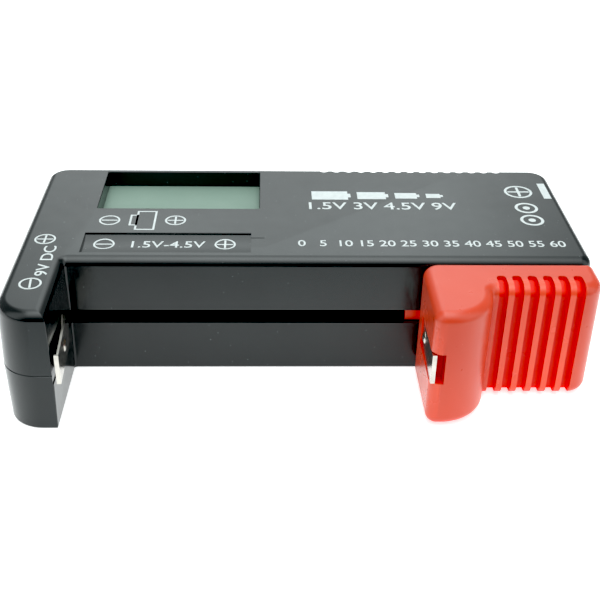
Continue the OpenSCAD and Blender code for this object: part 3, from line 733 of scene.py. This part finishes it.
def number(name, text, x, y, height, angle=0.0, squeeze=1.0):
    """A rating or a scale number in the plain built-in face, centred at x, y, with digits of that height."""
    curve = bpy.data.curves.new(name, "FONT")
    curve.body = text
    curve.size = height / 0.7 * MM
    curve.align_x = "CENTER"
    curve.offset = height * 0.012 * MM
    curve.extrude = INK_THICK / 2 * MM
    curve.resolution_u = 4
    letters = bpy.data.objects.new(name, curve)
    bpy.context.scene.collection.objects.link(letters)
    graph = bpy.context.evaluated_depsgraph_get()
    mesh = bpy.data.meshes.new_from_object(letters.evaluated_get(graph))
    bpy.data.objects.remove(letters)
    obj = bpy.data.objects.new(name, mesh)
    bpy.context.scene.collection.objects.link(obj)
    c, s = math.cos(angle), math.sin(angle)
    for vert in mesh.vertices:
        u, v = vert.co.x / MM * squeeze, vert.co.y / MM - height / 2
        px, py = x + c * u - s * v, y + s * u + c * v
        lift = INK_GAP + INK_THICK / 2 + vert.co.z / MM
        vert.co = Vector((px, py, surface_height(px, py) + lift)) * MM
    mesh.materials.clear()
    return finish_print(obj)


def print_display_signs():
    polarity("mark_minus_display", -38.7, 4.85, 2.1, False)
    polarity("mark_plus_display", -25.6, 4.9, 2.1, True)
    cell = frame_loop(-33.5, 0.7, -29.5, 9.0)
    cap = frame_loop(-34.75, 2.6, -33.1, 7.3)
    print_shape("mark_cell_upright", [cell, cap])


def print_recess_signs():
    polarity("mark_minus_recess", -38.7, -4.1, SIGN_R, False)
    polarity("mark_plus_recess", -15.4, -4.1, SIGN_R, True)
    number("rating_recess", "1.5V-4.5V", -26.7, -4.15, 2.5, squeeze=1.05)


def print_arm_signs():
    along_arm = math.pi / 2
    polarity("mark_plus_arm", -50.0, -3.3, SIGN_R, True)
    polarity("mark_minus_arm", -49.6, -20.3, SIGN_R, False, angle=along_arm + 0.1)
    number("rating_arm", "9V DC", -48.4, -11.8, 2.3, angle=along_arm, squeeze=1.25)


def print_title():
    """Four cells of falling size over the four ratings."""
    x = CELL_COLUMN
    for i, (length, width) in enumerate(CELL_SIZES):
        body = bar(x + length / 2, CELL_ROW, length, width)
        cap = bar(x + length + CELL_CAP / 2, CELL_ROW, CELL_CAP, width * 0.45)
        print_shape(f"mark_cell_{i}", [body, cap])
        x += length + CELL_GAP
    for i, text in enumerate(RATINGS):
        number(f"rating_{i}", text, 4.8 + i * 8.2, 11.9, 3.2, squeeze=1.05)


def print_scale():
    for i in range(SCALE_MARKS):
        number(f"scale_{i}", str(SCALE_STEP * i), -0.6 + i * 4.15, -4.6, 2.4, squeeze=0.95)


def print_end_marks():
    for i in range(2):
        x, y = 46.5, 11.2 - i * 5.6
        print_shape(f"mark_end_{i}", [ring_loop(x, y, RING_R, RING_STROKE), circle(x, y, RING_DOT_R)])
    polarity("mark_coin", 46.4, 19.0, 3.0, True, stroke=0.55)
    print_shape("mark_bar", [bar(52.1, 19.5, 1.6, 7.5)])


# Each mark's first numbers are its place on the top face, in millimetres from the middle of the case
print_display_signs()
print_recess_signs()
print_arm_signs()
print_title()
print_scale()
print_end_marks()


# ---------- carried-over parts ----------

# Nodes whose domes and bends are already rounded
ROUNDED_NODES = ("controller_blob", "negative_contact", "positive_contact")


def dress_cad_nodes():
    """Gives each CAD node the finish of its slot, smooth shading and, unless it is rounded, broken edges."""
    slots = {part["node"]: part["material_slot"] for part in frame["record"]["subparts"]}
    for name, obj in frame["nodes"].items():
        obj.data.materials.clear()
        obj.data.materials.append(FINISH_OF_SLOT[slots[name]])
        obj.data.shade_smooth()
        obj.data.set_sharp_from_angle(angle=math.radians(30))
        if name not in ROUNDED_NODES:
            soften(obj, 0.05)


dress_cad_nodes()


# ---------- table, light and camera ----------

CAMERA_PLACE = (-7.68, -180.98, 118.3)
CAMERA_YAW, CAMERA_PITCH, CAMERA_ROLL = -2.26, 31.12, 1.25
CAMERA_LENS = 62.03
FLOOR_SIZE = 4000.0
FLOOR_NEAR = FRONT - 72

# Brightness of the overhead softbox against the Y part of the direction, from the camera's side to the back
SOFTBOX = [(-0.95, 0.0), (-0.84, 0.6), (-0.5, 3.2), (-0.2, 4.8), (0.1, 4.2), (0.5, 2.2), (0.8, 1.75),
           (0.88, 1.85), (0.93, 1.0), (1.0, 0.3)]
SOFTBOX_PEAK = 5.0
SKY_COLOUR = rgb(0.93, 1.0, 1.0)
ROOM_GLOW = 0.35
FRONT_GLOW = 1.3
TABLE_GLOW = (0.0, 0.6)
GLOW_Y = (FRONT - 45, FRONT - 5)
BACKDROP = 1.1
BLACK_POINT = 0.02


def make_camera():
    """The camera looks along +Y, turned by yaw, tilted down by pitch and rolled about its line of sight."""
    yaw, pitch, roll = (math.radians(a) for a in (CAMERA_YAW, CAMERA_PITCH, CAMERA_ROLL))
    right = Vector((math.cos(yaw), math.sin(yaw), 0))
    ahead = Vector((-math.sin(yaw) * math.cos(pitch), math.cos(yaw) * math.cos(pitch), -math.sin(pitch)))
    up = right.cross(ahead)
    rolled_right = math.cos(roll) * right + math.sin(roll) * up
    rolled_up = -math.sin(roll) * right + math.cos(roll) * up
    camera = bpy.data.cameras.new("camera")
    camera.lens = CAMERA_LENS
    camera.sensor_width = 36
    camera.clip_start = 0.01
    camera.clip_end = 20
    obj = bpy.data.objects.new("camera", camera)
    bpy.context.scene.collection.objects.link(obj)
    turn = Matrix((rolled_right, rolled_up, -ahead)).transposed().to_4x4()
    obj.matrix_world = Matrix.Translation(Vector(CAMERA_PLACE) * MM) @ turn
    bpy.context.scene.camera = obj


def make_floor():
    """A white shooting table that ends short of the camera, with a glow that fades towards the camera."""
    corners = [(-FLOOR_SIZE, FLOOR_NEAR, 0), (FLOOR_SIZE, FLOOR_NEAR, 0), (FLOOR_SIZE, FLOOR_SIZE, 0),
               (-FLOOR_SIZE, FLOOR_SIZE, 0)]
    floor = link("floor", corners, [(0, 1, 2, 3)])
    table = plain("white_table", (0.85, 0.85, 0.85), (0.84, 0.84, 0.84), 0.8, 0.8, 0.01)
    along = table.node("ShaderNodeSeparateXYZ", {"Vector": table.place}).outputs["Y"]
    glow = table.spread(along, GLOW_Y[0] * MM, GLOW_Y[1] * MM, *TABLE_GLOW)
    table.set(Emission_Color=rgb(1, 1, 1), Emission_Strength=glow)
    floor.data.materials.append(table.material)


class Sky:
    """Small helpers for the world's nodes."""

    def __init__(self, tree):
        self.nodes = tree.nodes
        self.links = tree.links

    def feed(self, socket, value):
        if isinstance(value, bpy.types.NodeSocket):
            self.links.new(value, socket)
        else:
            socket.default_value = value

    def math(self, operation, *values):
        made = self.nodes.new("ShaderNodeMath")
        made.operation = operation
        for socket, value in zip(made.inputs, values):
            self.feed(socket, value)
        return made.outputs[0]

    def ease(self, value, low, high):
        """Rises smoothly from 0 at low to 1 at high."""
        made = self.nodes.new("ShaderNodeMapRange")
        made.interpolation_type = "SMOOTHSTEP"
        for name, source in (("Value", value), ("From Min", low), ("From Max", high)):
            self.feed(made.inputs[name], source)
        return made.outputs["Result"]

    def softbox(self, along):
        """The brightness that SOFTBOX gives, from a ramp over -1 to 1."""
        ramp = self.nodes.new("ShaderNodeValToRGB")
        self.feed(ramp.inputs["Fac"], self.math("MULTIPLY_ADD", along, 0.5, 0.5))
        stops = ramp.color_ramp.elements
        stops.remove(stops[1])
        stops[0].color = rgb(0, 0, 0)
        for y, level in SOFTBOX:
            stops.new((y + 1) / 2).color = rgb(*[level / SOFTBOX_PEAK] * 3)
        return self.math("MULTIPLY", ramp.outputs["Color"], SOFTBOX_PEAK)


def make_world():
    """A long softbox over the table from front to back, a fainter room at its sides, and darkness behind the
    camera. The camera itself sees a plain white backdrop."""
    world = bpy.data.worlds.new("studio")
    bpy.context.scene.world = world
    world.use_nodes = True
    sky = Sky(world.node_tree)
    split = sky.nodes.new("ShaderNodeSeparateXYZ")
    sky.feed(split.inputs[0], sky.nodes.new("ShaderNodeTexCoord").outputs["Generated"])
    across, along, up = split.outputs
    aside = sky.math("ABSOLUTE", across)
    softbox = sky.math("MULTIPLY", sky.softbox(along), sky.ease(aside, 0.45, 0.1))
    before_camera = sky.ease(along, -0.95, -0.6)
    room = sky.math("MULTIPLY", before_camera, ROOM_GLOW)
    front = sky.math("MULTIPLY", before_camera, sky.ease(along, 0.1, -0.3))
    sides = sky.math("MULTIPLY", sky.ease(aside, 0.15, 0.5), FRONT_GLOW)
    room = sky.math("ADD", room, sky.math("MULTIPLY", front, sides))
    light = sky.math("MULTIPLY", sky.math("ADD", softbox, room), sky.ease(up, -0.02, 0.02))
    seen = sky.nodes.new("ShaderNodeLightPath").outputs["Is Camera Ray"]
    background = sky.nodes["Background"]
    background.inputs["Color"].default_value = SKY_COLOUR
    sky.feed(background.inputs["Strength"], sky.math("MAXIMUM", sky.math("MULTIPLY", seen, BACKDROP), light))


make_camera()
make_floor()
make_world()

# A plain view with the darkest tones pressed to black
view = bpy.context.scene.view_settings
view.view_transform = "Standard"
view.use_curve_mapping = True
view.curve_mapping.black_level = (BLACK_POINT, BLACK_POINT, BLACK_POINT)
view.curve_mapping.update()
